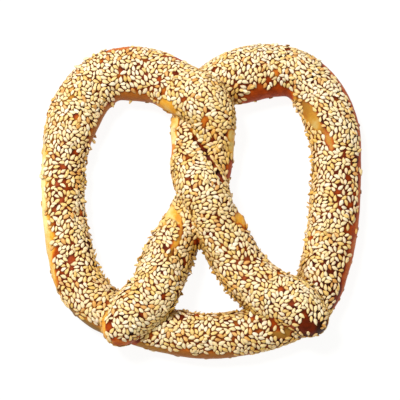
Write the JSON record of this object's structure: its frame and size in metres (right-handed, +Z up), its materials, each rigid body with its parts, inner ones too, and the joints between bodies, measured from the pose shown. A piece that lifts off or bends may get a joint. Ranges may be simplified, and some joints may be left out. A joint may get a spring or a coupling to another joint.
{
  "type": "simit",
  "caption": "Pretzel-shaped simit: one rope of baked dough knotted round openings, its ends lying on the lower arc, covered in sesame seeds.",
  "frame": {"origin": "middle of the bounding box's underside, on the surface that the simit lies on", "axes": "+Z up out of the tray, +Y from the bottom arc towards the two rounded arches, +X to the right as seen from above"},
  "size_m": [0.1418, 0.1408, 0.024],
  "materials": {
    "baked_crust": "browned bread crust with a thin egg-wash sheen, mostly hidden under cream-coloured sesame seeds"
  },
  "bodies": {
    "root": {"simit": "baked_crust"}
  },
  "joints": []
}
